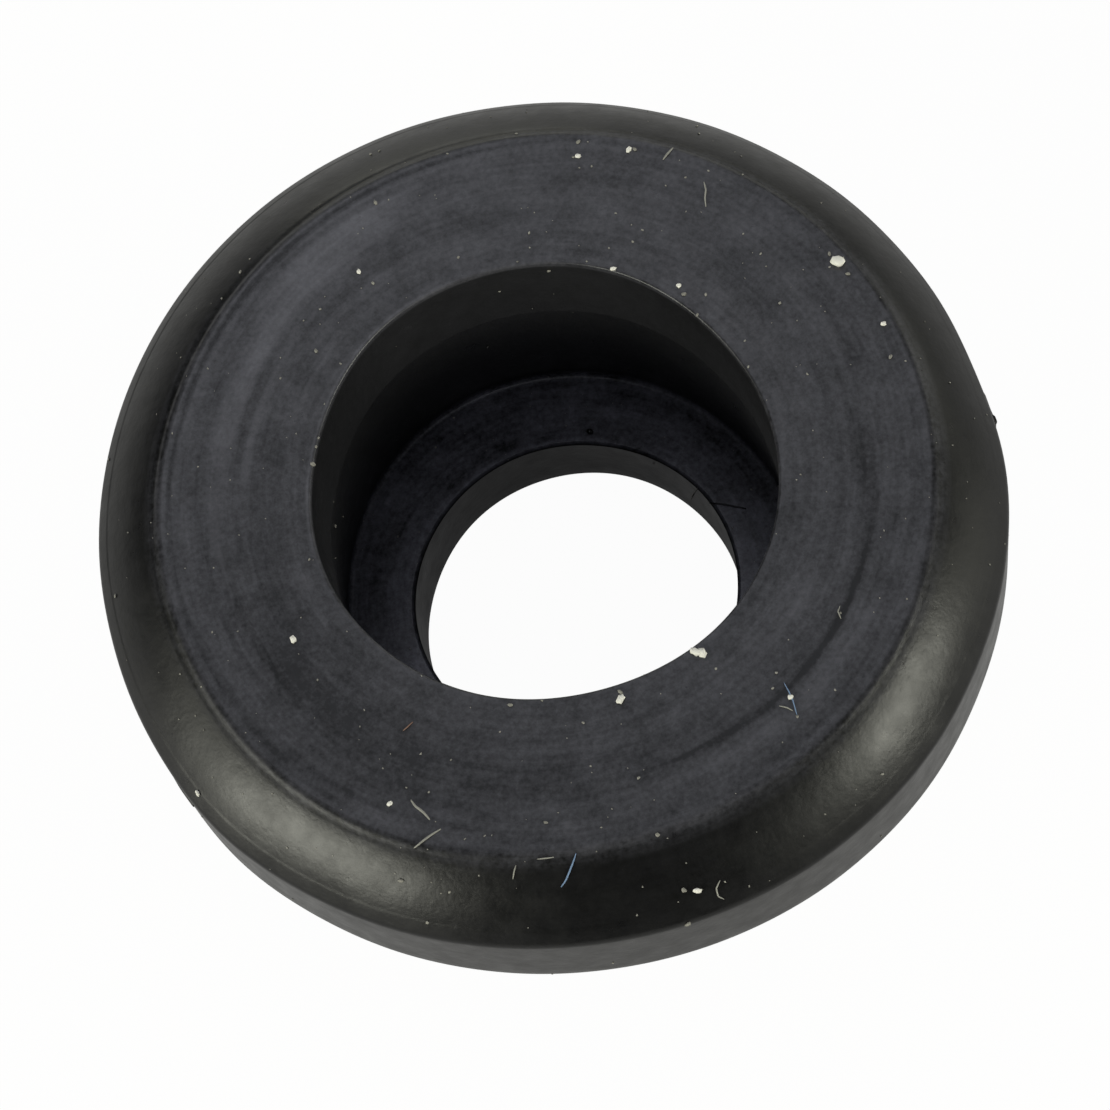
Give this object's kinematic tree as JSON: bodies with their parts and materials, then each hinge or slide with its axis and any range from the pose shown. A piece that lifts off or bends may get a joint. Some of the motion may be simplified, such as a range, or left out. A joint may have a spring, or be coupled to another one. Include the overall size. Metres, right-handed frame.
{
  "type": "shift linkage bushing",
  "caption": "Black rubber shift linkage bushing: wide flange with a sloping edge, plain spigot, deep bore for the link's boss and a smaller hole for its rod.",
  "frame": {"origin": "centre of the spigot's end face, on the bores' axis", "axes": "+Z along the bores' axis, from the spigot's end to the flange's face; X and Y lie in the flange's plane, and the part is round about Z"},
  "size_m": [0.0254, 0.0254, 0.0112],
  "materials": {
    "rubber": "matte moulded black rubber"
  },
  "bodies": {
    "root": {"bushing": "rubber"}
  },
  "joints": []
}
